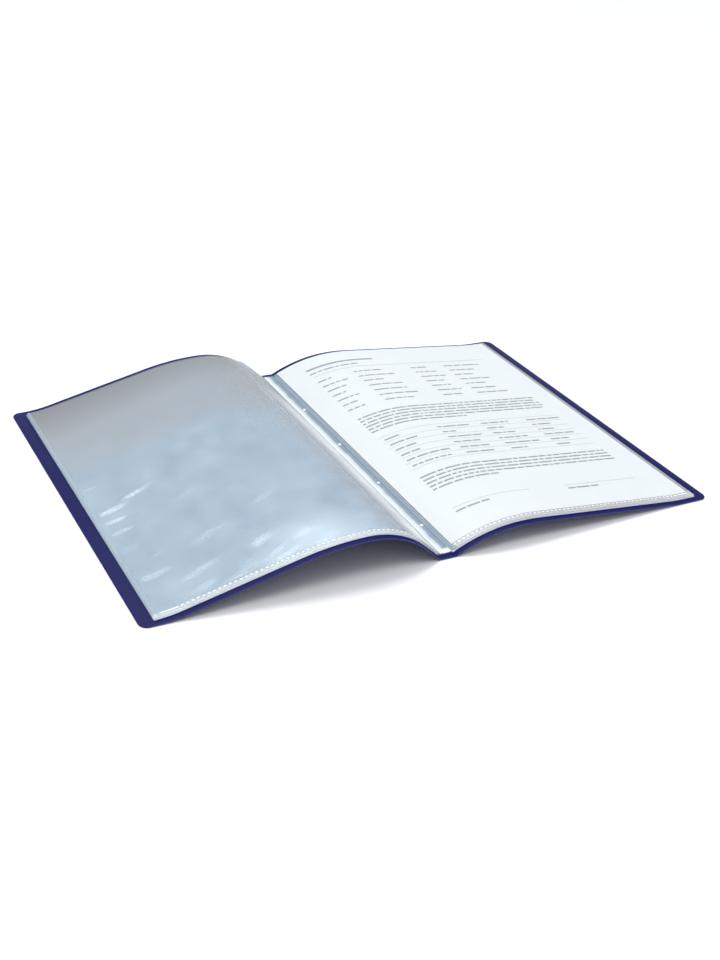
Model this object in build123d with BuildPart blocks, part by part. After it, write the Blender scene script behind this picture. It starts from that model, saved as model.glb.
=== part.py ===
from build123d import *

import os
from math import cos, radians, sin

# An A4 display book with clear pockets, lying open at its middle on a table.
# X runs across the spread, from the front cover on the left to the back cover on the right.
# Y runs along the spine, away from the reader, and Z is up.
# The origin is the middle of the spine's underside, on the table. All sizes are in millimetres.

# Cover: one plastic sheet, scored on both sides of the spine
cover_outer_margin = 9.3  # cover left bare beside the pockets
cover_bottom_margin = 4.5  # cover left bare below the pockets
cover_top_margin = 7.5  # cover left bare above the pockets
cover_thickness = 0.8
cover_corner_radius = 6.5
spine_width = 12.6  # from crease to crease
hinge_clearance = 0.15

# Arch of the front cover, on its middle surface: rise from the crease, crest, fall, and toe on the table
front_rise_angle = 42.0
front_rise_length = 17.0
front_crest_radius = 64.4
front_fall_radius = 200.4
front_fall_angle = 13.6
front_toe_radius = 99.6

# Arch of the back cover, which starts to bend at its crease
back_rise_angle = 28.0
back_crest_radius = 114.4
back_fall_radius = 180.4
back_fall_angle = 5.75
back_toe_radius = 149.6

# Pockets: two films welded together along three edges, and open at the top edge
pockets_per_side = 5
film_thickness = 0.06
pocket_gap = 0.06  # between the two films of an empty pocket
pocket_pitch = 0.4
cover_to_pocket_gap = 0.45
fold_margin = 1.2  # single strip beside the fold, before the films begin
inner_seam_width = 1.0
outer_seam_width = 2.0
bottom_seam_width = 4.5

# Document: an A4 sheet in the right-hand page, which also sets the pockets' size
sheet_width = 210.0
sheet_height = 297.0
sheet_thickness = 0.1
sheet_side_clearance = 0.75
sheet_bottom_clearance = 1.5
sheet_face_clearance = 0.16

# Binding: each pair of pockets shares a strip, spot welded through to the spine
strip_thickness = 0.12
strip_end_clearance = 1.0
weld_count = 4
weld_pitch = 65.5
first_weld_from_bottom = 37.5  # from the pockets' bottom edge
weld_offset = 2.0  # from the middle of the spine, towards the back cover
weld_radius = 1.2
weld_clearance = 0.05
weld_head_height = 0.35
weld_head_round = 0.25

# Places that follow from the sizes above
window_start = fold_margin + inner_seam_width
window_stop = window_start + sheet_width + 2 * sheet_side_clearance
pocket_width = window_stop + outer_seam_width  # from the fold to the outer edge
pocket_height = bottom_seam_width + sheet_bottom_clearance + sheet_height
pocket_thickness = 2 * film_thickness + pocket_gap
cover_width = pocket_width + cover_outer_margin  # flat width, from the crease to the outer edge
cover_height = cover_bottom_margin + pocket_height + cover_top_margin
cover_middle = cover_thickness / 2
pocket_low = cover_bottom_margin - cover_height / 2
pocket_high = pocket_low + pocket_height
sheet_low = pocket_high - sheet_height
sheet_start = window_start + sheet_side_clearance
sheet_pocket_gap = sheet_thickness + 2 * sheet_face_clearance


# One side of the book: its direction along X, its slope at the crease, and its runs as lengths and bends
def make_arch(side, rise_angle, rise_length, crest_radius, fall_radius, fall_angle, toe_radius):
    crest_height = rise_length * sin(radians(rise_angle)) + crest_radius * (1 - cos(radians(rise_angle)))
    bend_height = (fall_radius + toe_radius) * (1 - cos(radians(fall_angle)))
    runs = [
        (rise_length, 0.0),
        (crest_radius * radians(rise_angle), rise_angle),
        (fall_radius * radians(fall_angle), fall_angle),
        ((crest_height - bend_height) / sin(radians(fall_angle)), 0.0),
        (toe_radius * radians(fall_angle), -fall_angle),
        (cover_width, 0.0),
    ]
    return side, rise_angle, runs


# Point at a height above the arch's middle surface, at its crease
def fold_point(arch, offset):
    side, rise_angle, runs = arch
    reach = spine_width / 2 - offset * sin(radians(rise_angle))
    return side * reach, cover_middle + offset * cos(radians(rise_angle))


# End of a run that starts at a point with a slope, and its slope there
def end_of_run(side, point, slope, length, bend):
    half_bend = radians(bend) / 2
    chord = length if bend == 0 else length * sin(half_bend) / half_bend
    heading = radians(slope) - half_bend
    end = (point[0] + side * chord * cos(heading), point[1] + chord * sin(heading))
    return end, slope - bend


# Stretch of the arch at an offset: its first point, its slope there, and its runs between two lengths
def cut_arch(arch, offset, start, stop):
    side, slope, runs = arch
    point = fold_point(arch, offset)
    kept = []
    done = 0.0
    for run_length, run_bend in runs:
        length = run_length + radians(run_bend) * offset
        low = min(max(start - done, 0.0), length)
        high = min(max(stop - done, 0.0), length)
        if not kept and low > 0.0:
            point, slope = end_of_run(side, point, slope, low, run_bend * low / length)
        if high > low:
            kept.append((high - low, run_bend * (high - low) / length))
        done += length
    return point, slope, kept


# Last point of a stretch of the arch
def arch_end(arch, offset, stop):
    point, slope, runs = cut_arch(arch, offset, 0.0, stop)
    for length, bend in runs:
        point, slope = end_of_run(arch[0], point, slope, length, bend)
    return point


# Point square to a slope, above it for a positive rise
def square_to(side, point, slope, rise):
    return point[0] - side * rise * sin(radians(slope)), point[1] + rise * cos(radians(slope))


# Outline of a sheet's edge, drawn into the current line: both faces, a square end and a square or round root
def draw_sheet(arch, offset, thickness, start, stop, round_root=False):
    side = arch[0]
    point, slope, runs = cut_arch(arch, offset, start, stop)
    half = thickness / 2
    root_corners = [square_to(side, point, slope, rise) for rise in (-half, half)]
    root_tip = (point[0] - side * half * cos(radians(slope)), point[1] - half * sin(radians(slope)))
    end_corners = []
    for corner, rise in zip(root_corners, (-half, half)):
        here, tilt = corner, slope
        for length, bend in runs:
            face_length = length + radians(bend) * rise
            there, next_tilt = end_of_run(side, here, tilt, face_length, bend)
            if bend == 0:
                Line(here, there)
            else:
                JernArc(
                    start=here,
                    tangent=(side * cos(radians(tilt)), sin(radians(tilt))),
                    radius=face_length / abs(radians(bend)),
                    arc_size=-side * bend,
                )
            here, tilt = there, next_tilt
        end_corners.append(here)
    Line(*end_corners)
    if round_root:
        ThreePointArc(root_corners[0], root_tip, root_corners[1])
    else:
        Line(*root_corners)


# Labels a finished piece and writes it to its own file
def write_piece(piece, name):
    piece.label = name
    export_step(piece, f"parts/{name}.step")


os.makedirs("parts", exist_ok=True)

front_arch = make_arch(
    -1,
    front_rise_angle,
    front_rise_length,
    front_crest_radius,
    front_fall_radius,
    front_fall_angle,
    front_toe_radius,
)
back_arch = make_arch(
    1, back_rise_angle, 0.0, back_crest_radius, back_fall_radius, back_fall_angle, back_toe_radius
)

# Covers: an arched panel on each side, round at its crease and at its two outer corners
for name, arch in (("front_cover", front_arch), ("back_cover", back_arch)):
    outer_edge = abs(arch_end(arch, 0.0, cover_width)[0])
    with BuildPart() as cover:
        with BuildSketch(Plane.XZ.offset(-cover_height / 2)):
            with BuildLine():
                draw_sheet(arch, 0.0, cover_thickness, 0.0, cover_width, round_root=True)
            make_face()
        extrude(amount=cover_height)
        with BuildSketch():
            RectangleRounded(2 * outer_edge, cover_height, cover_corner_radius)
        extrude(amount=cover_width, both=True, mode=Mode.INTERSECT)
    write_piece(cover.part, name)

# Spine: the flat strip between the two creases
with BuildPart() as spine_panel:
    with BuildSketch():
        Rectangle(spine_width - cover_thickness - 2 * hinge_clearance, cover_height)
    extrude(amount=cover_thickness)
write_piece(spine_panel.part, "spine_panel")

# Pockets and binding strips, from the one next to the cover up to the open spread
weld_places = [
    (weld_offset, pocket_low + first_weld_from_bottom + weld_pitch * number) for number in range(weld_count)
]
strip_tops = []
for level in range(pockets_per_side):
    is_open_spread = level == pockets_per_side - 1
    offset = cover_middle + cover_to_pocket_gap + pocket_thickness / 2 + pocket_pitch * level
    left_pocket = (f"pocket_{level + 1:02d}", front_arch, offset, pocket_gap)
    right_name = f"pocket_{2 * pockets_per_side - level:02d}"
    right_gap = sheet_pocket_gap if is_open_spread else pocket_gap
    right_offset = offset + (right_gap - pocket_gap) / 2
    right_pocket = (right_name, back_arch, right_offset, right_gap)

    for name, arch, middle, gap in (left_pocket, right_pocket):
        film_rise = (gap + film_thickness) / 2

        # Lower and upper film
        for film_name, film_middle in (("lower_film", middle - film_rise), ("upper_film", middle + film_rise)):
            with BuildPart() as film:
                with BuildSketch(Plane.XZ.offset(-pocket_high)):
                    with BuildLine():
                        draw_sheet(arch, film_middle, film_thickness, fold_margin, pocket_width)
                    make_face()
                extrude(amount=pocket_height)
            write_piece(film.part, f"{name}_{film_name}")

        # Weld seam between the films: a strip to the fold, the bottom edge and the outer edge
        with BuildPart() as seam:
            with BuildSketch(Plane.XZ.offset(-pocket_high)):
                with BuildLine():
                    draw_sheet(arch, middle, gap, 0.0, pocket_width, round_root=True)
                make_face()
            extrude(amount=pocket_height)
            with BuildSketch(Plane.XZ.offset(-pocket_high - bottom_seam_width)):
                with BuildLine():
                    draw_sheet(arch, middle, 2 * gap, window_start, window_stop)
                make_face()
            extrude(amount=pocket_height, mode=Mode.SUBTRACT)
        write_piece(seam.part, f"{name}_seam")

    # Strip across the spine that joins this pair of pockets
    left_fold = fold_point(front_arch, offset)
    right_fold = fold_point(back_arch, right_offset)
    strip_width = right_fold[0] - left_fold[0] - 2 * strip_end_clearance
    strip_middle = (left_fold[1] + right_fold[1]) / 2
    strip_place = ((left_fold[0] + right_fold[0]) / 2, (pocket_low + pocket_high) / 2)
    with BuildPart() as binding_strip:
        with BuildSketch(Plane.XY.offset(strip_middle - strip_thickness / 2)):
            with Locations(strip_place):
                Rectangle(strip_width, pocket_height)
            with Locations(*weld_places):
                Circle(weld_radius + weld_clearance, mode=Mode.SUBTRACT)
        extrude(amount=strip_thickness)
    write_piece(binding_strip.part, f"binding_strip_{level + 1}")
    strip_tops.append(strip_middle + strip_thickness / 2)

# Spot welds: round pegs of melted film from the spine up through every strip
with BuildPart() as spot_welds:
    with BuildSketch(Plane.XY.offset(cover_thickness)):
        with Locations(*weld_places):
            Circle(weld_radius)
    extrude(amount=strip_tops[-1] + weld_head_height - cover_thickness)
    fillet(spot_welds.faces().group_by(Axis.Z)[-1].edges(), weld_head_round)
write_piece(spot_welds.part, "spot_welds")

# Document: the sheet of paper in the right-hand page
sheet_middle = right_offset
with BuildPart() as document_sheet:
    with BuildSketch(Plane.XZ.offset(-sheet_low - sheet_height)):
        with BuildLine():
            draw_sheet(back_arch, sheet_middle, sheet_thickness, sheet_start, sheet_start + sheet_width)
        make_face()
    extrude(amount=sheet_height)
write_piece(document_sheet.part, "document_sheet")
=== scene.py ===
import math
import random

import bpy
import numpy as np
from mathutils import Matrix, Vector


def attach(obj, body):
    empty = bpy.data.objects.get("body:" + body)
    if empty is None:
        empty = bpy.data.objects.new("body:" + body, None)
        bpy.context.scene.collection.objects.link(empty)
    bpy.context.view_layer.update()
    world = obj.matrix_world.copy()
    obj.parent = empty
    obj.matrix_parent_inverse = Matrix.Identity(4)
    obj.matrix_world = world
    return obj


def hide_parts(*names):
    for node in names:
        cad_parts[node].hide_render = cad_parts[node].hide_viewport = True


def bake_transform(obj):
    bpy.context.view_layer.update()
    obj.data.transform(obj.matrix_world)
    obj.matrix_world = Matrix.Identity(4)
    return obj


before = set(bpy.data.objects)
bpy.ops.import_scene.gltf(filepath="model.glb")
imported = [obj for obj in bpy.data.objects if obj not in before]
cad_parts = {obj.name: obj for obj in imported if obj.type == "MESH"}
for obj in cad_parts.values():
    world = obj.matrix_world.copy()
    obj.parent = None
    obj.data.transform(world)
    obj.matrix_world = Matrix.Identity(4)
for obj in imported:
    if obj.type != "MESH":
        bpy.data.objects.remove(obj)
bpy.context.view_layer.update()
mm = 0.001
print("frame loaded:", len(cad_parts), "nodes")

# Sizes of the book in mm, as its solids have them.
# Flat patterns are drawn in mm, then laid on an arch in metres.
book = {
    "spineWidth": 12.6,
    "coverThickness": 0.8,
    "coverWidth": 225.0,
    "coverLow": -157.5,
    "coverHigh": 157.5,
    "cornerRadius": 6.5,
    "pocketsPerSide": 5,
    "pocketWidth": 215.7,
    "pocketLow": -153.0,
    "pocketHigh": 150.0,
    "firstPocket": 0.94,  # middle of the lowest pocket over the middle of the cover
    "pocketPitch": 0.4,
    "filmThickness": 0.06,
    "pocketGap": 0.06,
    "filledGap": 0.42,  # gap of the pocket that holds the paper
    "foldMargin": 1.2,
}

# Inside of a pocket's weld seam. In the filled pocket the seam is drawn almost up to the sheet.
emptyWindow = {"start": 2.2, "stop": 213.7, "low": -148.5}
filledWindow = {"start": 2.2, "stop": 213.15, "low": -147.2}

# Arch of each side: rise and fall in degrees, the rest in mm
frontArch = {
    "side": -1,
    "rise": 42.0,
    "riseRun": 17.0,
    "crestRadius": 64.4,
    "fall": 13.6,
    "fallRadius": 200.4,
    "toeRadius": 99.6,
}
backArch = {
    "side": 1,
    "rise": 28.0,
    "riseRun": 0.0,
    "crestRadius": 114.4,
    "fall": 5.75,
    "fallRadius": 180.4,
    "toeRadius": 149.6,
}


def archRuns(arch):
    # lengths and bends of the rise, crest, fall, slope, toe and flat edge
    rise, fall = math.radians(arch["rise"]), math.radians(arch["fall"])
    crestHeight = arch["riseRun"] * math.sin(rise) + arch["crestRadius"] * (1 - math.cos(rise))
    bendHeight = (arch["fallRadius"] + arch["toeRadius"]) * (1 - math.cos(fall))
    return [
        (arch["riseRun"], 0.0),
        (arch["crestRadius"] * rise, rise),
        (arch["fallRadius"] * fall, fall),
        ((crestHeight - bendHeight) / math.sin(fall), 0.0),
        (arch["toeRadius"] * fall, -fall),
        (book["coverWidth"], 0.0),
    ]


def archSpots(arch, offset, along):
    # x, z and slope at lengths along the arch, offset mm over the cover's middle
    side, tilt = arch["side"], math.radians(arch["rise"])
    x = np.full(along.shape, side * (book["spineWidth"] / 2 - offset * math.sin(tilt)))
    z = np.full(along.shape, book["coverThickness"] / 2 + offset * math.cos(tilt))
    slope = np.where(along < 0, 0.0, tilt)
    x += side * np.minimum(along, 0.0)  # lengths below zero run flat over the spine
    done = 0.0
    for length, bend in archRuns(arch):
        run = length + bend * offset
        if run <= 0:
            continue
        turn = bend / run
        gone = np.clip(along - done, 0.0, run)
        half = turn * gone / 2
        chord = gone * np.sinc(half / math.pi)
        x += side * chord * np.cos(tilt - half)
        z += chord * np.sin(tilt - half)
        slope = np.where(along > done, tilt - turn * gone, slope)
        done += run
        tilt -= turn * run
    return x, z, slope


def readPoints(piece):
    points = np.empty(len(piece.data.vertices) * 3)
    piece.data.vertices.foreach_get("co", points)
    return points.reshape(-1, 3)


def writePoints(piece, points):
    piece.data.vertices.foreach_set("co", points.ravel())
    piece.data.update()


def layOnArch(piece, arch, offset, relief=None):
    # x of the flat pattern runs along the arch, y up the page and z off the sheet
    flat = readPoints(piece)
    lift = flat[:, 2] + (relief(flat[:, 0], flat[:, 1]) if relief else 0.0)
    x, z, slope = archSpots(arch, offset, flat[:, 0])
    x -= arch["side"] * lift * np.sin(slope)
    z += lift * np.cos(slope)
    writePoints(piece, np.stack([x, flat[:, 1], z], axis=1) * mm)
    if arch["side"] < 0:  # the left side is a mirror image, so its faces are turned back outwards
        piece.data.flip_normals()


def deselect():
    bpy.ops.object.select_all(action="DESELECT")


def nameNew(name):
    piece = bpy.context.object
    piece.name = piece.data.name = name
    return piece


def pick(piece, kind, test):
    # selects vertices or faces by their place and leaves the piece in edit mode
    bpy.ops.object.mode_set(mode="OBJECT")
    for group in (piece.data.vertices, piece.data.edges, piece.data.polygons):
        group.foreach_set("select", [False] * len(group))
    if kind == "VERT":
        for corner in piece.data.vertices:
            corner.select = test(corner.co)
    else:
        for face in piece.data.polygons:
            face.select = test(face.center)
    bpy.ops.object.mode_set(mode="EDIT")
    bpy.ops.mesh.select_mode(type=kind)


def flatGrid(name, along, up, cells):
    deselect()
    bpy.ops.mesh.primitive_grid_add(x_subdivisions=cells[0], y_subdivisions=cells[1], size=1)
    piece = nameNew(name)
    bpy.ops.object.mode_set(mode="EDIT")
    bpy.ops.mesh.select_all(action="SELECT")
    bpy.ops.transform.resize(value=(along[1] - along[0], up[1] - up[0], 1))
    bpy.ops.transform.translate(value=((along[0] + along[1]) / 2, (up[0] + up[1]) / 2, 0))
    bpy.ops.object.mode_set(mode="OBJECT")
    return piece


def cutAlong(piece, places, direction):
    # adds a line of edges at each place, across the whole piece
    bpy.ops.object.mode_set(mode="EDIT")
    for place in places:
        bpy.ops.mesh.select_all(action="SELECT")
        bpy.ops.mesh.bisect(plane_co=[place * d for d in direction], plane_no=direction)
    bpy.ops.object.mode_set(mode="OBJECT")


def applyModifier(piece, kind, **settings):
    deselect()
    piece.select_set(True)
    bpy.context.view_layer.objects.active = piece
    modifier = piece.modifiers.new(kind.lower(), kind)
    for setting, value in settings.items():
        setattr(modifier, setting, value)
    bpy.ops.object.modifier_apply(modifier=modifier.name)


def thicken(piece, thickness):
    applyModifier(piece, "SOLIDIFY", thickness=thickness, offset=0.0)


# edges with a greater angle are bevelled, or shaded sharp
edgeAngles = {"rounded": math.radians(50), "sharp": math.radians(40)}


def roundEdges(piece, width, segments):
    applyModifier(piece, "BEVEL", width=width, segments=segments, limit_method="ANGLE",
                  angle_limit=edgeAngles["rounded"])


def dress(piece, material, body=None, replaced=()):
    deselect()
    piece.select_set(True)
    bpy.context.view_layer.objects.active = piece
    bpy.ops.object.shade_smooth_by_angle(angle=edgeAngles["sharp"])
    piece.data.materials.clear()
    piece.data.materials.append(material)
    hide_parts(*replaced)
    if body:
        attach(piece, body)


# Materials
plasticIor = 1.49  # polypropylene, in the sheet of the cover and in the film
colourOut = 2  # a mix node's outputs are a number, a vector and a colour


def colour(code):
    # sRGB hex to linear
    parts = [int(code[i:i + 2], 16) / 255 for i in (1, 3, 5)]
    return [c / 12.92 if c <= 0.04045 else ((c + 0.055) / 1.055) ** 2.4 for c in parts] + [1.0]


def addNode(tree, kind, settings=(), links=(), stops=()):
    # settings are socket or property values by name, links are socket names with the output that feeds each,
    # and stops are the places and colours of a ramp, from left to right
    node = tree.nodes.new(kind)
    sockets = {socket.identifier: socket for socket in node.inputs}
    for name, value in dict(settings).items():
        if name in sockets:
            sockets[name].default_value = value
        else:
            setattr(node, name, value)
    for name, output in dict(links).items():
        tree.links.new(output, sockets[name])
    if stops:
        elements = node.color_ramp.elements
        while len(elements) < len(stops):
            elements.new(0.5)
        for element, (level, code) in zip(elements, stops):
            element.position = level
            element.color = colour(code)
    return node


def startMaterial(name):
    material = bpy.data.materials.new(name)
    material.use_nodes = True
    material.node_tree.nodes.clear()
    return material, material.node_tree


def fineness(size):
    # texture scale for a grain of this many mm, on Object coordinates in metres
    return 1 / (size * mm)


def fromSpan(start, stop):
    # settings of a range that starts and stops at places in mm
    return {"From Min": start * mm, "From Max": stop * mm}


coverSheet = {
    "tints": [(0.0, "#11134A"), (1.0, "#181B56")],
    "cloud": 40.0,
    "grain": 0.7,
    "roughness": (0.42, 0.55),
    "paintedLitCutTint": "#3A4090",
    "paintedLitCutDepth": (0.3, 0.1),  # from the cover's two ends, where the cut shows and painted light brightens it
}


def makePolypropylene():
    # extruded polypropylene sheet: satin, fine embossed grain, uneven gloss, with painted light that makes
    # its cut ends lighter
    material, tree = startMaterial("embossedPolypropylene")
    place = addNode(tree, "ShaderNodeTexCoord").outputs["Object"]
    cloud = addNode(tree, "ShaderNodeTexNoise", {"Scale": fineness(coverSheet["cloud"]), "Detail": 3.0},
                    {"Vector": place})
    tint = addNode(tree, "ShaderNodeValToRGB", links={"Fac": cloud.outputs["Fac"]},
                   stops=coverSheet["tints"])
    spot = addNode(tree, "ShaderNodeSeparateXYZ", links={"Vector": place})
    end = addNode(tree, "ShaderNodeMath", {"operation": "ABSOLUTE"}, {"Value": spot.outputs["Y"]})
    cut = [book["coverHigh"] - depth for depth in coverSheet["paintedLitCutDepth"]]
    isPaintedLitCut = addNode(tree, "ShaderNodeMapRange", fromSpan(*cut), {"Value": end.outputs["Value"]})
    # painted light: a lighter blue on the cut ends, in place of light from the front
    base = addNode(tree, "ShaderNodeMix", {"data_type": "RGBA", "B_Color": colour(coverSheet["paintedLitCutTint"])},
                   {"Factor_Float": isPaintedLitCut.outputs["Result"], "A_Color": tint.outputs["Color"]})
    grain = addNode(tree, "ShaderNodeTexNoise", {"Scale": fineness(coverSheet["grain"]), "Detail": 2.0},
                    {"Vector": place})
    low, high = coverSheet["roughness"]
    gloss = addNode(tree, "ShaderNodeMapRange", {"To Min": low, "To Max": high},
                    {"Value": grain.outputs["Fac"]})
    bump = addNode(tree, "ShaderNodeBump", {"Strength": 0.12, "Distance": 0.2 * mm},
                   {"Height": grain.outputs["Fac"]})
    shader = addNode(tree, "ShaderNodeBsdfPrincipled", {"IOR": plasticIor, "Specular IOR Level": 0.1}, {
        "Base Color": base.outputs[colourOut],
        "Roughness": gloss.outputs["Result"],
        "Normal": bump.outputs["Normal"],
    })
    addNode(tree, "ShaderNodeOutputMaterial", links={"Surface": shader.outputs["BSDF"]})
    return material


pagePaintedLight = {  # painted light on the left page's films, at places in mm from the spine's middle and up the page
    "far": (50.0, 120.0),  # painted reflection of the room's warm grey wall: warmer towards the open top, with an uneven border
    "farCloud": 90.0,
    "farSway": 60.0,
    "fold": (-50.0, -18.0),  # and the same painted reflection beside the fold
    "end": (115.0, 168.0),  # painted shade: greyer at the open end
    "paintedShadeLean": -0.12,
    "paintedShadeTint": "#85898C",
    "paintedSheen": (-88.0, -140.0, 0.0),  # painted sheen: paler towards the bottom edge
    "paintedSheenReach": (52.0, 36.0, 500.0),
    "paintedSheenTint": "#C4D2DB",
}


def hazeWithPaintedLight(tree, place, tint, paintedReflectionTint):
    # colour of a hazy film, with painted reflection, painted shade and a painted sheen over the page
    spot = addNode(tree, "ShaderNodeSeparateXYZ", links={"Vector": place})
    soft = {"interpolation_type": "SMOOTHSTEP"}
    cloud = addNode(tree, "ShaderNodeTexNoise", {"Scale": fineness(pagePaintedLight["farCloud"])}, {"Vector": place})
    far = addNode(tree, "ShaderNodeMath",
                  {"operation": "MULTIPLY_ADD", "Value_001": pagePaintedLight["farSway"] * mm},
                  {"Value": cloud.outputs["Fac"], "Value_002": spot.outputs["Y"]})
    isFar = addNode(tree, "ShaderNodeMapRange", fromSpan(*pagePaintedLight["far"]) | soft,
                    {"Value": far.outputs["Value"]})
    isFold = addNode(tree, "ShaderNodeMapRange", fromSpan(*pagePaintedLight["fold"]) | soft,
                     {"Value": spot.outputs["X"]})
    isPaintedReflection = addNode(tree, "ShaderNodeMath", {"operation": "MAXIMUM"},
                     {"Value": isFar.outputs["Result"], "Value_001": isFold.outputs["Result"]})
    # painted shade, greyer towards the open top of the page
    lean = addNode(tree, "ShaderNodeMath", {"operation": "MULTIPLY_ADD", "Value_001": pagePaintedLight["paintedShadeLean"]},
                   {"Value": spot.outputs["X"], "Value_002": spot.outputs["Y"]})
    isPaintedShade = addNode(tree, "ShaderNodeMapRange", fromSpan(*pagePaintedLight["end"]), {"Value": lean.outputs["Value"]})
    # painted sheen: a paler patch towards the bottom of the page
    patch = addNode(tree, "ShaderNodeMapping", {
        "vector_type": "TEXTURE",
        "Location": [c * mm for c in pagePaintedLight["paintedSheen"]],
        "Scale": [c * mm for c in pagePaintedLight["paintedSheenReach"]],
    }, {"Vector": place})
    isPaintedSheen = addNode(tree, "ShaderNodeTexGradient", {"gradient_type": "SPHERICAL"},
                        {"Vector": patch.outputs["Vector"]})
    layers = (
        (isPaintedReflection.outputs["Value"], paintedReflectionTint),
        (isPaintedShade.outputs["Result"], pagePaintedLight["paintedShadeTint"]),
        (isPaintedSheen.outputs["Fac"], pagePaintedLight["paintedSheenTint"]),
    )
    for share, code in layers:
        mix = addNode(tree, "ShaderNodeMix", {"data_type": "RGBA", "B_Color": colour(code)},
                      {"Factor_Float": share, "A_Color": tint})
        tint = mix.outputs[colourOut]
    return tint


flowMark = 22.0  # size of the film's faint marks, in mm


def makeFilm(name, film):
    # cast polypropylene film: clear, a little hazy, glossy, with faint flow marks
    material, tree = startMaterial(name)
    place = addNode(tree, "ShaderNodeTexCoord").outputs["Object"]
    flow = addNode(tree, "ShaderNodeTexNoise", {"Scale": fineness(flowMark), "Detail": 3.0},
                   {"Vector": place})
    marks = addNode(tree, "ShaderNodeValToRGB", links={"Fac": flow.outputs["Fac"]},
                    stops=[(0.3, film["dark"]), (0.7, film["pale"])])
    tint = marks.outputs["Color"]
    # the pages' films get painted reflection, painted shade and a painted sheen
    if "paintedReflectionTint" in film:
        tint = hazeWithPaintedLight(tree, place, tint, film["paintedReflectionTint"])
    low, high = film["roughness"]
    gloss = addNode(tree, "ShaderNodeMapRange", {"To Min": low, "To Max": high},
                    {"Value": flow.outputs["Fac"]})
    shader = addNode(tree, "ShaderNodeBsdfPrincipled", {
        "IOR": plasticIor,
        "Alpha": film["alpha"],
        "Coat Weight": 1.0,
        "Coat Roughness": 0.17,
        "Specular IOR Level": 1.0,
    }, {"Base Color": tint, "Roughness": gloss.outputs["Result"]})
    addNode(tree, "ShaderNodeOutputMaterial", links={"Surface": shader.outputs["BSDF"]})
    return material


seamBlend = {"bottom": 0.5, "root": 0.6}  # in mm, from one shade to the next


def makeSeamFilm(name, seam):
    # films melted together: pale along the bottom, greyer at the outer edge,
    # with painted light beside the fold: painted shade in the paper's pocket, a pale painted highlight in
    # the others
    material, tree = startMaterial(name)
    place = addNode(tree, "ShaderNodeTexCoord").outputs["Object"]
    spot = addNode(tree, "ShaderNodeSeparateXYZ", links={"Vector": place})
    low, root = seam["low"], seam["rootReach"]
    isBottom = addNode(tree, "ShaderNodeMapRange",
                       fromSpan(low + seamBlend["bottom"], low - seamBlend["bottom"]),
                       {"Value": spot.outputs["Y"]})
    edge = addNode(tree, "ShaderNodeValToRGB", links={"Fac": isBottom.outputs["Result"]},
                   stops=[(0.0, seam["outerTint"]), (1.0, seam["bottomTint"])])
    reach = addNode(tree, "ShaderNodeMath", {"operation": "ABSOLUTE"}, {"Value": spot.outputs["X"]})
    # painted light beside the fold: dark for the paper's pocket, pale for the empty ones
    isPaintedLitRoot = addNode(tree, "ShaderNodeMapRange", fromSpan(root + seamBlend["root"], root),
                     {"Value": reach.outputs["Value"]})
    tint = addNode(tree, "ShaderNodeMix", {"data_type": "RGBA", "B_Color": colour(seam["rootPaintedLightTint"])},
                   {"Factor_Float": isPaintedLitRoot.outputs["Result"], "A_Color": edge.outputs["Color"]})
    shader = addNode(tree, "ShaderNodeBsdfPrincipled",
                     {"IOR": plasticIor, "Alpha": seam["alpha"], "Roughness": 0.3},
                     {"Base Color": tint.outputs[colourOut]})
    addNode(tree, "ShaderNodeOutputMaterial", links={"Surface": shader.outputs["BSDF"]})
    return material


whiteningAndHighlight = {
    "streak": (34.0, 3.2),  # length and width of a streak
    "slant": 108.0,
    "tints": [(0.32, "#D0D6D8"), (0.5, "#E3E8EA"), (0.68, "#FAFCFC")],
    "fade": (-14.0, -33.0),  # from the fold across the page
    "far": (45.0, 100.0),  # and up the page
    "calmTint": "#A3AAAF",
}


def makeWhitenedHighlitFilm():
    # film that has gone milky along its creases, which slant towards the fold,
    # with painted highlights on the creases, and is as before away from them
    material, tree = startMaterial("stressWhitenedHighlitFilm")
    place = addNode(tree, "ShaderNodeTexCoord").outputs["Object"]
    length, width = whiteningAndHighlight["streak"]
    slant = addNode(tree, "ShaderNodeMapping", {
        "vector_type": "TEXTURE",
        "Rotation": (0, 0, math.radians(whiteningAndHighlight["slant"])),
        "Scale": (length * mm, width * mm, 1.0),
    }, {"Vector": place})
    milk = addNode(tree, "ShaderNodeTexNoise", {"Scale": 1.0, "Detail": 2.0},
                   {"Vector": slant.outputs["Vector"]})
    # white streaks, partly the film's milky creases, partly painted highlight
    highlightStreaks = addNode(tree, "ShaderNodeValToRGB", links={"Fac": milk.outputs["Fac"]},
                      stops=whiteningAndHighlight["tints"])
    spot = addNode(tree, "ShaderNodeSeparateXYZ", links={"Vector": place})
    fade = addNode(tree, "ShaderNodeMapRange",
                   fromSpan(*whiteningAndHighlight["fade"]) | {"interpolation_type": "SMOOTHSTEP"},
                   {"Value": spot.outputs["X"]})
    far = addNode(tree, "ShaderNodeMapRange", fromSpan(*whiteningAndHighlight["far"]), {"Value": spot.outputs["Y"]})
    isCalm = addNode(tree, "ShaderNodeMath", {"operation": "MAXIMUM"},
                     {"Value": fade.outputs["Result"], "Value_001": far.outputs["Result"]})
    tint = addNode(tree, "ShaderNodeMix", {"data_type": "RGBA", "B_Color": colour(whiteningAndHighlight["calmTint"])},
                   {"Factor_Float": isCalm.outputs["Value"], "A_Color": highlightStreaks.outputs["Color"]})
    shader = addNode(tree, "ShaderNodeBsdfPrincipled",
                     {"Alpha": 0.55, "Roughness": 0.5, "Specular IOR Level": 0.3},
                     {"Base Color": tint.outputs[colourOut]})
    addNode(tree, "ShaderNodeOutputMaterial", links={"Surface": shader.outputs["BSDF"]})
    return material


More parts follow.
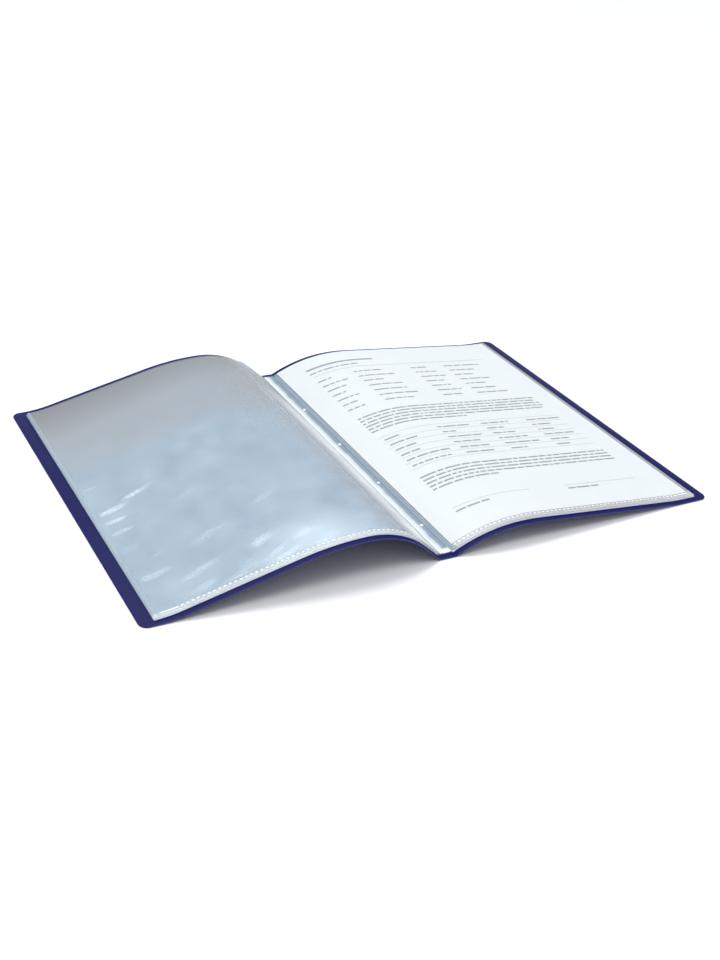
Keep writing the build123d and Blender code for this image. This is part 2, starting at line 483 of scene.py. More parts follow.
gutterLightAndShade = {
    "across": (-2.9, 6.1),
    "tints": [
        (0.0, "#D9E2E6"), (0.12, "#F6F9FA"), (0.24, "#D6E0E5"),
        (0.46, "#C6D3DA"), (0.58, "#929FA9"), (1.0, "#778B9B"),
    ],
    "sway": 3.0,
    "swayLength": 14.0,
    "front": (-147.0, -149.0),  # beside the bottom seams
    "frontTint": "#E4E8EA",
}


def makeGutterFilm():
    # pressed film in the gutter: painted highlight where it is creased, painted shade deeper towards the
    # paper
    material, tree = startMaterial("pressedGutterFilmLightAndShade")
    place = addNode(tree, "ShaderNodeTexCoord").outputs["Object"]
    spot = addNode(tree, "ShaderNodeSeparateXYZ", links={"Vector": place})
    sway = addNode(tree, "ShaderNodeTexNoise",
                   {"noise_dimensions": "1D", "Scale": fineness(gutterLightAndShade["swayLength"]), "Detail": 2.0},
                   {"W": spot.outputs["Y"]})
    bent = addNode(tree, "ShaderNodeMath",
                   {"operation": "MULTIPLY_ADD", "Value_001": gutterLightAndShade["sway"] * mm},
                   {"Value": sway.outputs["Fac"], "Value_002": spot.outputs["X"]})
    across = addNode(tree, "ShaderNodeMapRange", fromSpan(*gutterLightAndShade["across"]),
                     {"Value": bent.outputs["Value"]})
    # painted light across the gutter: a white highlight near the crease, painted shade deeper towards the
    # paper
    shade = addNode(tree, "ShaderNodeValToRGB", links={"Fac": across.outputs["Result"]},
                    stops=gutterLightAndShade["tints"])
    isFront = addNode(tree, "ShaderNodeMapRange", fromSpan(*gutterLightAndShade["front"]),
                      {"Value": spot.outputs["Y"]})
    tint = addNode(tree, "ShaderNodeMix",
                   {"data_type": "RGBA", "B_Color": colour(gutterLightAndShade["frontTint"])},
                   {"Factor_Float": isFront.outputs["Result"], "A_Color": shade.outputs["Color"]})
    shader = addNode(tree, "ShaderNodeBsdfPrincipled", {"IOR": plasticIor, "Alpha": 0.75, "Roughness": 0.25},
                     {"Base Color": tint.outputs[colourOut]})
    addNode(tree, "ShaderNodeOutputMaterial", links={"Surface": shader.outputs["BSDF"]})
    return material


paperFibre = {"size": 2.0, "tints": [(0.0, "#D0D5D7"), (1.0, "#DADEE0")]}


def makePaper():
    # uncoated office paper: bright, matte, faint fibre cloud
    material, tree = startMaterial("officePaper")
    place = addNode(tree, "ShaderNodeTexCoord").outputs["Object"]
    fibre = addNode(tree, "ShaderNodeTexNoise", {"Scale": fineness(paperFibre["size"]), "Detail": 4.0},
                    {"Vector": place})
    tint = addNode(tree, "ShaderNodeValToRGB", links={"Fac": fibre.outputs["Fac"]},
                   stops=paperFibre["tints"])
    bump = addNode(tree, "ShaderNodeBump", {"Strength": 0.05, "Distance": 0.1 * mm},
                   {"Height": fibre.outputs["Fac"]})
    shader = addNode(tree, "ShaderNodeBsdfPrincipled", {"Roughness": 0.85}, {
        "Base Color": tint.outputs["Color"],
        "Normal": bump.outputs["Normal"],
    })
    addNode(tree, "ShaderNodeOutputMaterial", links={"Surface": shader.outputs["BSDF"]})
    return material


# specks drawn coarser than real ones, so that they show
tonerSpeck = {"size": 1.2, "tints": [(0.0, "#6A7574"), (1.0, "#98A2A0")]}


def makeToner():
    # laser toner: grey, a little uneven where the powder is thin
    material, tree = startMaterial("printedToner")
    place = addNode(tree, "ShaderNodeTexCoord").outputs["Object"]
    speck = addNode(tree, "ShaderNodeTexNoise", {"Scale": fineness(tonerSpeck["size"]), "Detail": 2.0},
                    {"Vector": place})
    tint = addNode(tree, "ShaderNodeValToRGB", links={"Fac": speck.outputs["Fac"]},
                   stops=tonerSpeck["tints"])
    shader = addNode(tree, "ShaderNodeBsdfPrincipled", {"Roughness": 0.6},
                     {"Base Color": tint.outputs["Color"]})
    addNode(tree, "ShaderNodeOutputMaterial", links={"Surface": shader.outputs["BSDF"]})
    return material


coverPlastic = makePolypropylene()
clearFilm = makeFilm("castPolypropyleneFilm", {
    "pale": "#A2B2BD", "dark": "#97A8B4", "paintedReflectionTint": "#9CA3A9", "alpha": 0.11, "roughness": (0.16, 0.3),
})
wrinkledFilm = makeFilm("wrinkledPolypropyleneFilm", {
    "pale": "#B0C0CA", "dark": "#9EAFBB", "paintedReflectionTint": "#A5ACB1", "alpha": 0.18, "roughness": (0.14, 0.26),
})
paperFilm = makeFilm("smoothPolypropyleneFilm", {
    "pale": "#E9EDEF", "dark": "#DEE4E7", "alpha": 0.09, "roughness": (0.12, 0.22),
})
seamFilm = makeSeamFilm("heatWeldedFilm", {
    "low": emptyWindow["low"], "bottomTint": "#CDCFCE", "outerTint": "#9CA8B2",
    "rootPaintedLightTint": "#E3E9EC", "rootReach": 7.0, "alpha": 0.5,
})
paperSeamFilm = makeSeamFilm("heatWeldedPaperPocket", {
    "low": filledWindow["low"], "bottomTint": "#BBBDBD", "outerTint": "#929599",
    "rootPaintedLightTint": "#7C8FA0", "rootReach": 8.3, "alpha": 0.8,
})
gutterMaterial = makeGutterFilm()
meltedFilm = makeFilm("meltedFilmDots", {
    "pale": "#FFFFFF", "dark": "#F4F7F9", "alpha": 0.95, "roughness": (0.2, 0.35),
})
whitenedHighlitFilm = makeWhitenedHighlitFilm()
officePaper = makePaper()
printedToner = makeToner()
print("materials made:", len(bpy.data.materials))

# Covers
coverBend = {"step": 2.0, "edgeRound": 0.2, "edgeSegments": 2, "cornerSegments": 10}


def makeCover(name, arch, body):
    low, high, width = book["coverLow"], book["coverHigh"], book["coverWidth"]
    piece = flatGrid(name, (0.0, width), (low, high), (1, 1))
    pick(piece, "VERT", lambda spot: spot.x > width / 2)
    bpy.ops.mesh.bevel(affect="VERTICES", offset=book["cornerRadius"], segments=coverBend["cornerSegments"])
    cutAlong(piece, np.arange(coverBend["step"], width, coverBend["step"]), (1, 0, 0))
    thicken(piece, book["coverThickness"])
    roundEdges(piece, coverBend["edgeRound"], coverBend["edgeSegments"])
    layOnArch(piece, arch, 0.0)
    dress(piece, coverPlastic, body, [body])


makeCover("frontPanel", frontArch, "front_cover")
makeCover("backPanel", backArch, "back_cover")

# Spine, and the thin webs that the score lines leave
spinePlate = {"width": 11.5, "cells": (6, 1), "edgeRound": 0.15, "edgeSegments": 2}
creaseWeb = {
    "onSpine": -1.3,
    "onCover": 1.2,
    "inset": 0.3,  # from the ends of the cover
    "thickness": 0.3,
    "cells": (10, 1),
    "blendReach": 0.5,
}

half = spinePlate["width"] / 2
spine = flatGrid("spinePlate", (-half, half), (book["coverLow"], book["coverHigh"]), spinePlate["cells"])
thicken(spine, book["coverThickness"])
roundEdges(spine, spinePlate["edgeRound"], spinePlate["edgeSegments"])
points = readPoints(spine)
points[:, 2] += book["coverThickness"] / 2
writePoints(spine, points * mm)
dress(spine, coverPlastic, "spine", ["spine_panel"])

for side, arch in (("front", frontArch), ("back", backArch)):
    web = flatGrid(f"{side}CreaseWeb", (creaseWeb["onSpine"], creaseWeb["onCover"]),
                   (book["coverLow"] + creaseWeb["inset"], book["coverHigh"] - creaseWeb["inset"]),
                   creaseWeb["cells"])
    thicken(web, creaseWeb["thickness"])
    layOnArch(web, arch, 0.0)
    dress(web, coverPlastic)
    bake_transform(web)
print("cover made")

# Pockets
pocketGrid = {
    "topCells": (200, 215),
    "lowerCells": (72, 4),
    "foldFineness": 0.6,
    "seamCells": (72, 1),
    "seamStart": 0.05,
}
pageWrinkles = [  # dents of the empty page: along, up, half length, half width, tilt in degrees, height
    (124, -134, 11, 4.6, -24, 1.00), (129, -116, 12, 5.5, -30, 0.60), (100, -127, 13, 5.5, -12, 0.65),
    (148, -131, 11, 6.5, 15, 0.50), (168, -118, 14, 5.5, -14, 0.70), (187, -123, 13, 5.5, -4, 0.65),
    (176, -137, 12, 5.0, -20, 0.60), (200, -107, 12, 5.0, -12, 0.60), (204, -20, 13, 3.6, -10, 1.05),
    (186, -11, 16, 3.4, -14, 0.90), (172, -3, 14, 4.0, -18, 0.60), (204, -33, 12, 3.8, -8, 0.95),
    (202, -47, 12, 4.4, -12, 0.80), (204, -62, 12, 5.0, -10, 0.70), (152, -33, 15, 5.0, -22, 0.55),
    (135, -55, 15, 6.5, -30, 0.60), (112, -73, 17, 6.5, -22, 0.65), (205, 17, 11, 3.6, -6, 0.60),
    (160, -88, 19, 7.5, -20, 0.60), (75, -112, 15, 5.5, -34, 0.65), (60, -134, 13, 5.5, -26, 0.75),
    (91, -39, 56, 0.8, 90, 0.06), (118, 16, 28, 0.8, 0, 0.06),
]
paperWrinkles = [  # the film over the paper is smoother
    (196, -115, 22, 6.0, -24, 0.25), (180, -81, 26, 8.0, -30, 0.20), (150, -131, 20, 6.0, -12, 0.22),
    (198, -43, 20, 7.0, -35, 0.18), (120, 57, 40, 14.0, -20, 0.15), (60, -103, 30, 9.0, 60, 0.15),
    (170, 117, 30, 10.0, -15, 0.18),
]
foldPuckers = {
    "count": 13,
    "first": -138.0,
    "pitch": 22.5,
    "along": 19.0,
    "halfLength": 15.0,
    "halfWidth": 2.4,
    "tilt": 66.0,
    "height": 0.9,
    "swayStep": 2.3,  # from one pucker to the next, in radians
    "upSway": 6.0,
    "alongSway": 4.0,
    "tiltSway": 4.0,
    "lengthShare": 0.25,  # by which the lengths differ
    "heightShare": 0.3,
}
swells = {
    "height": 0.5,
    "warp": 6.0,
    "warpLengths": (41.0, 17.0),  # along and up the page
    "ripple": (0.35, 4.6),  # lean and length of the swells
    "crossRipple": (0.4, 11.0),  # and of the waves that cross them
    "crossSway": (1.3, 29.0),  # in radians, and its length
    "low": (-40.0, 70.0),  # start and reach of the swells towards the bottom
    "outer": (150.0, 50.0),  # towards the outer edge
    "outerTop": (40.0, 60.0),  # where those end, down the page
}
weldReach = {"fold": 2.0, "outer": 3.0, "bottom": 4.0}  # flat beside the welds


def foldWrinkles():
    # diagonal puckers beside the fold, each a little unlike its neighbours
    page = foldPuckers
    for number in range(page["count"]):
        sway = math.sin(page["swayStep"] * number)
        yield (
            page["along"] + page["alongSway"] * sway,
            page["first"] + page["pitch"] * number + page["upSway"] * sway,
            page["halfLength"] * (1 + page["lengthShare"] * sway),
            page["halfWidth"],
            page["tilt"] + page["tiltSway"] * sway,
            page["height"] * (1 - page["heightShare"] * sway),
        )


def pillows(along, up):
    # soft swells, towards the bottom and the outer edge of the page
    warp = swells["warp"] * np.sin(up / swells["warpLengths"][1] + along / swells["warpLengths"][0])
    lean, length = swells["ripple"]
    ripple = np.sin((lean * along + up + warp) / length)
    lean, length = swells["crossRipple"]
    sway, swayLength = swells["crossSway"]
    swell = ripple * np.sin((along - lean * up) / length + sway * np.sin(up / swayLength))
    low = np.clip((swells["low"][0] - up) / swells["low"][1], 0, 1)
    outer = np.clip((along - swells["outer"][0]) / swells["outer"][1], 0, 1)
    outer *= np.clip((swells["outerTop"][0] - up) / swells["outerTop"][1], 0, 1)
    return swells["height"] * (0.5 + 0.5 * swell) ** 2 * np.maximum(low, outer)


def wrinkleRelief(wrinkles, ground=None):
    def relief(along, up):
        height = ground(along, up) if ground else np.zeros(along.shape)
        for atAlong, atUp, halfLength, halfWidth, tilt, rise in wrinkles:
            turn = math.radians(tilt)
            lengthwise = (along - atAlong) * math.cos(turn) + (up - atUp) * math.sin(turn)
            crosswise = (up - atUp) * math.cos(turn) - (along - atAlong) * math.sin(turn)
            height += rise * np.exp(-((lengthwise / halfLength) ** 2) - (crosswise / halfWidth) ** 2)
        edges = (
            (along - book["foldMargin"]) / weldReach["fold"],
            (emptyWindow["stop"] - along) / weldReach["outer"],
            (up - emptyWindow["low"]) / weldReach["bottom"],
        )
        for edge in edges:  # nothing lifts at the welded edges
            share = np.clip(edge, 0, 1)
            height *= share ** 2 * (3 - 2 * share)
        return height
    return relief


reliefs = {
    "pocket_05": wrinkleRelief(pageWrinkles + list(foldWrinkles()), pillows),
    "pocket_06": wrinkleRelief(paperWrinkles),
}


def pockets():
    # name, arch, middle offset and gap of each pocket, from the covers up to the open spread
    for level in range(book["pocketsPerSide"]):
        offset = book["firstPocket"] + book["pocketPitch"] * level
        isOpen = level == book["pocketsPerSide"] - 1
        extra = (book["filledGap"] - book["pocketGap"]) / 2 if isOpen else 0.0
        yield f"pocket_{level + 1:02d}", frontArch, offset, book["pocketGap"]
        rightName = f"pocket_{2 * book['pocketsPerSide'] - level:02d}"
        yield rightName, backArch, offset + extra, book["pocketGap"] + 2 * extra


def makeFilmSheet(name, arch, offset, relief):
    cells = pocketGrid["topCells"] if relief else pocketGrid["lowerCells"]
    piece = flatGrid(name, (0.0, 1.0), (book["pocketLow"], book["pocketHigh"]), cells)
    points = readPoints(piece)  # rows of points crowd towards the fold, where the small puckers are
    share = points[:, 0] * pocketGrid["foldFineness"] + points[:, 0] ** 2 * (1 - pocketGrid["foldFineness"])
    points[:, 0] = book["foldMargin"] + share * (book["pocketWidth"] - book["foldMargin"])
    writePoints(piece, points)
    thicken(piece, book["filmThickness"])
    layOnArch(piece, arch, offset, relief)
    return piece


def makeSeam(name, arch, offset, thickness, window):
    piece = flatGrid(name, (pocketGrid["seamStart"], book["pocketWidth"]),
                     (book["pocketLow"], book["pocketHigh"]), pocketGrid["seamCells"])
    cutAlong(piece, (window["start"], window["stop"]), (1, 0, 0))
    cutAlong(piece, (window["low"],), (0, 1, 0))
    pick(piece, "FACE", lambda spot: window["start"] < spot.x < window["stop"] and spot.y > window["low"])
    bpy.ops.mesh.delete(type="FACE")
    bpy.ops.object.mode_set(mode="OBJECT")
    thicken(piece, thickness)
    layOnArch(piece, arch, offset)
    return piece


topFilms = {"pocket_05_upperSheet": wrinkledFilm, "pocket_06_upperSheet": paperFilm}
for name, arch, offset, gap in pockets():
    rise = (gap + book["filmThickness"]) / 2
    for side, height in (("lower", offset - rise), ("upper", offset + rise)):
        relief = reliefs.get(name) if side == "upper" else None
        film = makeFilmSheet(f"{name}_{side}Sheet", arch, height, relief)
        dress(film, topFilms.get(film.name, clearFilm), name, [f"{name}_{side}_film"])
        film.visible_shadow = False  # clear film lets the light through
    isFilled = gap > book["pocketGap"]
    seam = makeSeam(f"{name}_weldSeam", arch, offset, gap, filledWindow if isFilled else emptyWindow)
    dress(seam, paperSeamFilm if isFilled else seamFilm, name, [f"{name}_seam"])
    seam.visible_shadow = False
print("pockets made")

# Haze beside the fold of the empty page, where the creased film has gone white, with painted highlights
# along its creases
haze = {"along": (1.5, 33.0), "up": (-148.0, 149.5), "cells": (70, 200), "thickness": 0.03, "lift": 0.03}
layer = flatGrid("foldHazeWithHighlights", haze["along"], haze["up"], haze["cells"])
thicken(layer, haze["thickness"])
topOffset = book["firstPocket"] + (book["pocketsPerSide"] - 1) * book["pocketPitch"]
topFace = topOffset + book["pocketGap"] / 2 + book["filmThickness"]
layOnArch(layer, frontArch, topFace + haze["lift"], reliefs["pocket_05"])
dress(layer, whitenedHighlitFilm, "pocket_05")
layer.visible_shadow = False
print("fold haze made")

# Row of small welds along the bottom of each pocket, and a solid dash at its outer corner
stitch = {
    "first": 4.5,
    "last": 197.5,
    "pitch": 3.7,
    "up": -149.4,
    "size": (1.9, 1.1, 0.18),
    "round": 0.07,
    "roundSegments": 2,
    "sunk": 0.15,
    "dash": (199.5, 212.0),
    "dashCells": 6,
}


def makeStitches():
    # the flat row, modelled once: a bevelled block for the dots, stretched for the dash
    deselect()
    bpy.ops.mesh.primitive_cube_add(size=1)
    row = nameNew("weldDots")
    bpy.ops.object.mode_set(mode="EDIT")
    bpy.ops.mesh.select_all(action="SELECT")
    bpy.ops.transform.resize(value=stitch["size"])
    bpy.ops.transform.translate(value=(stitch["first"], stitch["up"], stitch["size"][2] / 2))
    bpy.ops.object.mode_set(mode="OBJECT")
    count = int((stitch["last"] - stitch["first"]) / stitch["pitch"]) + 1
    applyModifier(row, "ARRAY", count=count, use_relative_offset=False, use_constant_offset=True,
                  constant_offset_displace=(stitch["pitch"], 0, 0))
    low, high = stitch["dash"]
    bpy.ops.object.mode_set(mode="EDIT")
    bpy.ops.mesh.primitive_cube_add(size=1, location=((low + high) / 2, stitch["up"], stitch["size"][2] / 2))
    bpy.ops.transform.resize(value=(high - low, *stitch["size"][1:]))
    bpy.ops.object.mode_set(mode="OBJECT")
    cutAlong(row, np.linspace(low, high, stitch["dashCells"] + 1)[1:-1], (1, 0, 0))
    roundEdges(row, stitch["round"], stitch["roundSegments"])
    return row


flatRow = makeStitches()
for name, arch, offset, gap in pockets():
    dots = flatRow.copy()
    dots.data = flatRow.data.copy()
    bpy.context.collection.objects.link(dots)
    dots.name = dots.data.name = f"{name}_stitches"
    sunk = 0.0 if name in reliefs else stitch["sunk"]  # pressed flat inside the stack
    layOnArch(dots, arch, offset + gap / 2 + book["filmThickness"] - sunk)
    dress(dots, meltedFilm, name)
bpy.data.objects.remove(flatRow)
print("weld rows made")

# Binding: the hidden strips keep their solids, the top one is the pressed film in the gutter
for number in range(book["pocketsPerSide"] - 1):
    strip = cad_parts[f"binding_strip_{number + 1}"]
    strip.data.materials.clear()
    strip.data.materials.append(clearFilm)

gutter = {
    "across": (-4.2, 4.35),
    "ends": (2.32, 2.65),  # heights at the left and right fold
    "sag": 0.14,
    "thickness": 0.12,
    "cells": (36, 200),
    "wave": 0.1,
    "waveLength": 23.0,
    "waveDrift": (2.5, 31.0),  # in radians, and its length
    "crease": 0.45,
    "creaseHalf": 0.5,
    "creaseInset": 1.2,
    "creaseSway": (0.5, 14.0),  # and its length
    "creaseDrift": (2.0, 37.0),  # in radians, and its length
}
film = flatGrid("gutterFilm", gutter["across"], (book["pocketLow"], book["pocketHigh"]), gutter["cells"])
thicken(film, gutter["thickness"])
points = readPoints(film)
left, right = gutter["across"]
across, up = points[:, 0], points[:, 1]
share = (across - left) / (right - left)
drift, driftLength = gutter["waveDrift"]
wave = gutter["wave"] * np.sin(2 * math.pi * up / gutter["waveLength"] + drift * np.sin(up / driftLength))
points[:, 2] += gutter["ends"][0] * (1 - share) + gutter["ends"][1] * share
points[:, 2] -= 4 * share * (1 - share) * (gutter["sag"] - wave)
sway, swayLength = gutter["creaseSway"]
drift, driftLength = gutter["creaseDrift"]
creaseAt = left + gutter["creaseInset"] + sway * np.sin(up / swayLength + drift * np.sin(up / driftLength))
points[:, 2] += gutter["crease"] * np.exp(-((across - creaseAt) / gutter["creaseHalf"]) ** 2)
writePoints(film, points * mm)
dress(film, gutterMaterial, "spine", ["binding_strip_5"])
film.visible_shadow = False

spotWeld = {
    "across": 2.0,
    "first": -115.5,
    "pitch": 65.5,
    "count": 4,
    "radius": 1.2,
    "sides": 24,
    "low": 0.8,
    "top": 2.95,
    "rim": 0.5,
    "dimple": 0.2,
    "dimpleShift": 0.15,
    "round": 0.16,
    "roundSegments": 3,
}
deselect()
weldHeight = spotWeld["top"] - spotWeld["low"]
bpy.ops.mesh.primitive_cylinder_add(vertices=spotWeld["sides"], radius=spotWeld["radius"], depth=weldHeight)
welds = nameNew("spotWelds")
pick(welds, "FACE", lambda spot: spot.z > weldHeight / 4)  # the top face
bpy.ops.mesh.inset(thickness=spotWeld["rim"])
bpy.ops.transform.translate(value=(spotWeld["dimpleShift"], 0, -spotWeld["dimple"]))
bpy.ops.mesh.select_all(action="SELECT")
weldMiddle = (spotWeld["low"] + spotWeld["top"]) / 2
bpy.ops.transform.translate(value=(spotWeld["across"], spotWeld["first"], weldMiddle))
bpy.ops.object.mode_set(mode="OBJECT")
roundEdges(welds, spotWeld["round"], spotWeld["roundSegments"])
applyModifier(welds, "ARRAY", count=spotWeld["count"], use_relative_offset=False, use_constant_offset=True,
              constant_offset_displace=(0, spotWeld["pitch"], 0))
writePoints(welds, readPoints(welds) * mm)
dress(welds, meltedFilm, "spine", ["spot_welds"])
print("binding made")

# Paper
paper = {"along": (2.95, 212.95), "up": (-147.0, 150.0), "thickness": 0.1, "offset": 2.72, "cells": (105, 8)}
sheet = flatGrid("paperSheet", paper["along"], paper["up"], paper["cells"])
thicken(sheet, paper["thickness"])
layOnArch(sheet, backArch, paper["offset"])
dress(sheet, officePaper, "document", ["document_sheet"])

# Print: plain bars for words and thin rules, in mm across and down from the sheet's top left corner
printed = {"seed": 7, "ink": 0.02, "lift": 0.09, "cell": 3.0}
words = {"height": 2.0, "space": 1.3, "lengths": (2.5, 14.0), "leastRoom": 3.0}
form = {
    "left": 20.0,
    "width": 170.0,
    "linePitch": 4.8,
    "heading": {"down": 18.0, "width": 64.0, "height": 2.8},
    "note": {"down": 26.0, "width": 46.0, "ruleDown": 33.0, "ruleHeight": 0.5},
    "entries": {"columns": (20.0, 110.0), "down": 42.0, "pitch": 9.5, "rows": 7,
                "captions": (14.0, 26.0), "shift": 34.0, "widths": (16.0, 40.0)},
    "text": {"down": 116.0, "rows": 6, "lastWidth": 88.0},
    "table": {"down": 152.0, "pitch": 9.0, "rows": 6, "ruleHeight": 0.35, "wordsDown": 156.2,
              "columns": (23.0, 70.0, 112.0, 156.0), "leastWidth": 12.0,
              "mostWidths": (40.0, 34.0, 34.0, 34.0)},
    "closing": {"down": 218.0, "rows": 5, "lastWidth": 60.0},
    "signing": {"columns": (20.0, 118.0), "down": 266.0, "width": 66.0, "height": 0.4,
                "wordsDown": 270.0, "wordsWidth": 28.0},
}
wordLengths = random.Random(printed["seed"])


def textLine(across, down, width):
    # words of uneven length until the line is full
    while width > words["leastRoom"]:
        word = min(width, wordLengths.uniform(*words["lengths"]))
        yield across, down, word, words["height"]
        across += word + words["space"]
        width -= word + words["space"]


def paragraph(block):
    for row in range(block["rows"]):
        isLast = row == block["rows"] - 1
        width = block["lastWidth"] if isLast else form["width"]
        yield from textLine(form["left"], block["down"] + form["linePitch"] * row, width)


def formLayout():
    # across, down, width and height of each bar
    left, width = form["left"], form["width"]
    heading, note, entries = form["heading"], form["note"], form["entries"]
    yield left, heading["down"], heading["width"], heading["height"]
    yield from textLine(left, note["down"], note["width"])
    yield left, note["ruleDown"], width, note["ruleHeight"]
    for row in range(entries["rows"]):  # two columns of captions and entries
        down = entries["down"] + entries["pitch"] * row
        for across in entries["columns"]:
            yield from textLine(across, down, wordLengths.uniform(*entries["captions"]))
            yield from textLine(across + entries["shift"], down, wordLengths.uniform(*entries["widths"]))
    yield from paragraph(form["text"])
    table = form["table"]
    for row in range(table["rows"] + 1):  # the table's rules, then its words
        yield left, table["down"] + table["pitch"] * row, width, table["ruleHeight"]
    for row in range(table["rows"]):
        for across, most in zip(table["columns"], table["mostWidths"]):
            room = wordLengths.uniform(table["leastWidth"], most)
            yield from textLine(across, table["wordsDown"] + table["pitch"] * row, room)
    yield from paragraph(form["closing"])
    signing = form["signing"]
    for across in signing["columns"]:  # two lines to sign on
        yield across, signing["down"], signing["width"], signing["height"]
        yield from textLine(across, signing["wordsDown"], signing["wordsWidth"])


def makePrint():
    deselect()
    bpy.ops.mesh.primitive_grid_add(x_subdivisions=1, y_subdivisions=1, size=1)
    piece = nameNew("printedForm")
    bpy.ops.object.mode_set(mode="EDIT")
    bpy.ops.mesh.select_all(action="SELECT")
    bpy.ops.mesh.delete(type="VERT")
    for across, down, width, height in formLayout():
        spot = (paper["along"][0] + across + width / 2, paper["up"][1] - down - height / 2, 0)
        steps = math.ceil(width / printed["cell"])
        bpy.ops.mesh.primitive_grid_add(x_subdivisions=steps, y_subdivisions=1, size=1, location=spot)
        bpy.ops.transform.resize(value=(width, height, 1))
    bpy.ops.object.mode_set(mode="OBJECT")
    thicken(piece, printed["ink"])
    layOnArch(piece, backArch, paper["offset"] + printed["lift"])
    return piece


dress(makePrint(), printedToner, "document")
print("paper and print made")

# Stage, light and camera, in metres
stage = {
    "size": 12.0,
    "level": -0.0002,
    "tint": "#F7F8FA",
    "backdropRadius": 5.9,
    "backdropHeight": 8.0,
    "backdropSides": 96,
    "backdropTint": "#FFFFFF",
}
deselect()
bpy.ops.mesh.primitive_plane_add(size=stage["size"], location=(0, 0, stage["level"]))
floor = nameNew("studioFloor")
floorMaterial, floorTree = startMaterial("paintedFloor")
floorShader = addNode(floorTree, "ShaderNodeBsdfPrincipled",
                      {"Base Color": colour(stage["tint"]), "Roughness": 0.9})
addNode(floorTree, "ShaderNodeOutputMaterial", links={"Surface": floorShader.outputs["BSDF"]})
floor.data.materials.append(floorMaterial)

# a white backdrop that only the camera sees, so that it neither lights nor shades the book
deselect()
bpy.ops.mesh.primitive_cylinder_add(
    vertices=stage["backdropSides"], radius=stage["backdropRadius"], depth=stage["backdropHeight"],
    end_fill_type="NOTHING", location=(0, 0, stage["backdropHeight"] / 2))
backdrop = nameNew("studioBackdrop")
backdropMaterial, backdropTree = startMaterial("whiteBackdrop")
backdropGlow = addNode(backdropTree, "ShaderNodeEmission",
                       {"Color": colour(stage["backdropTint"]), "Strength": 1.0})
addNode(backdropTree, "ShaderNodeOutputMaterial", links={"Surface": backdropGlow.outputs["Emission"]})
backdropMaterial.cycles.emission_sampling = "NONE"
backdrop.data.materials.append(backdropMaterial)
backdrop.visible_diffuse = backdrop.visible_glossy = False
backdrop.visible_shadow = backdrop.visible_transmission = False

# a bright room that the film mirrors: a grey-blue wall at its far end, and a soft bright patch high up
wall = {
    "ahead": (0.485, 0.875, 0.0),
    "upright": (0.33, 0.0, 1.0),
    "from": -0.1,
    "to": 0.5,
    "strength": 1.0,
    "tints": [
        (0.0, "#D8D4D0"), (0.52, "#C9C6C3"), (0.6, "#96A9BB"),
        (0.7, "#A8B9C9"), (0.77, "#CAD6E0"), (0.84, "#FFFFFF"),
    ],
    "roomTint": "#CCCDD0",
}
skylight = {"towards": (0.065, 0.465, 0.883), "rim": 0.94, "core": 0.993, "strength": 8.0}
world = bpy.data.worlds.new("studioSurround")
bpy.context.scene.world = world
world.use_nodes = True
sky = world.node_tree
sky.nodes.clear()
direction = addNode(sky, "ShaderNodeTexCoord").outputs["Generated"]
height = addNode(sky, "ShaderNodeVectorMath", {"operation": "DOT_PRODUCT", "Vector_001": wall["upright"]},
                 {"Vector": direction})
wallTint = addNode(sky, "ShaderNodeValToRGB", links={"Fac": height.outputs["Value"]}, stops=wall["tints"])
facing = addNode(sky, "ShaderNodeVectorMath", {"operation": "DOT_PRODUCT", "Vector_001": wall["ahead"]},
                 {"Vector": direction})
isWall = addNode(sky, "ShaderNodeMapRange", {"From Min": wall["from"], "From Max": wall["to"]},
                 {"Value": facing.outputs["Value"]})
isRoom = addNode(sky, "ShaderNodeMath", {"operation": "SUBTRACT", "Value": 1.0},
                 {"Value_001": isWall.outputs["Result"]})
surround = addNode(sky, "ShaderNodeMix", {"data_type": "RGBA", "B_Color": colour(wall["roomTint"])},
                   {"Factor_Float": isRoom.outputs["Value"], "A_Color": wallTint.outputs["Color"]})
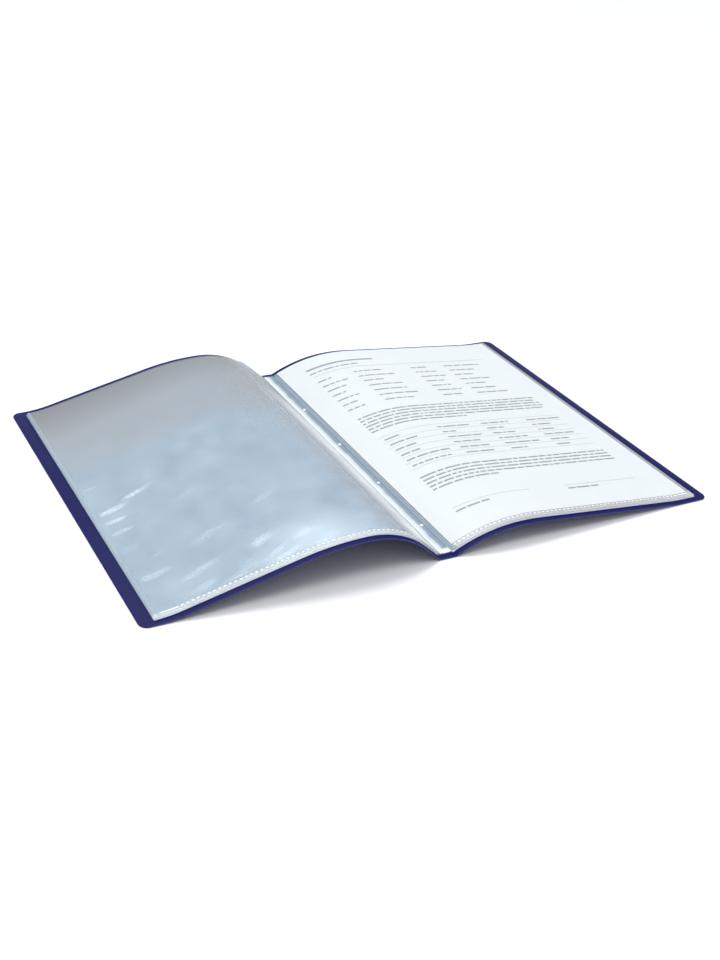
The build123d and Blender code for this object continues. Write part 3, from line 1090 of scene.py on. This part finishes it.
aim = addNode(sky, "ShaderNodeVectorMath", {"operation": "DOT_PRODUCT", "Vector_001": skylight["towards"]},
              {"Vector": direction})
glow = addNode(sky, "ShaderNodeMapRange", {
    "From Min": skylight["rim"],
    "From Max": skylight["core"],
    "To Min": wall["strength"],
    "To Max": skylight["strength"],
    "interpolation_type": "SMOOTHSTEP",
}, {"Value": aim.outputs["Value"]})
background = addNode(sky, "ShaderNodeBackground",
                     links={"Color": surround.outputs[colourOut], "Strength": glow.outputs["Result"]})
addNode(sky, "ShaderNodeOutputWorld", links={"Surface": background.outputs["Background"]})

lamps = {
    "keySoftbox": {"place": (-0.3, 1.0, 1.5), "size": 1.2, "power": 6.5, "tint": "#FFFFFF"},
    "fillSoftbox": {"place": (-0.4, -0.6, 1.9), "size": 0.8, "power": 9.8, "tint": "#FFFFFF"},
}
for name, lamp in lamps.items():
    bpy.ops.object.light_add(type="AREA", location=lamp["place"])
    light = nameNew(name)
    light.data.size = lamp["size"]
    light.data.energy = lamp["power"]
    light.data.color = colour(lamp["tint"])[:3]
    light.visible_glossy = False  # the film mirrors the room instead
    light.rotation_euler = (-Vector(lamp["place"])).to_track_quat("-Z", "Y").to_euler()

camera = {
    "place": (-0.4290, -0.7987, 0.4841),
    "azimuth": -29.0,
    "elevation": 29.07,
    "roll": 3.98,
    "lens": 49.66,
    "sensorWidth": 36.0,
    "clearLayers": 64,  # enough to see through all the films
}
bpy.ops.object.camera_add(location=camera["place"])
view = nameNew("photoCamera")
turn, dip = math.radians(camera["azimuth"]), math.radians(camera["elevation"])
ahead = Vector((-math.sin(turn) * math.cos(dip), math.cos(turn) * math.cos(dip), -math.sin(dip)))
view.rotation_euler = ahead.to_track_quat("-Z", "Y").to_euler()
view.rotation_euler.rotate_axis("Z", math.radians(camera["roll"]))
view.data.lens = camera["lens"]
view.data.sensor_width = camera["sensorWidth"]
bpy.context.scene.camera = view
bpy.context.scene.view_settings.view_transform = "Standard"
bpy.context.scene.cycles.transparent_max_bounces = camera["clearLayers"]
print("stage made")
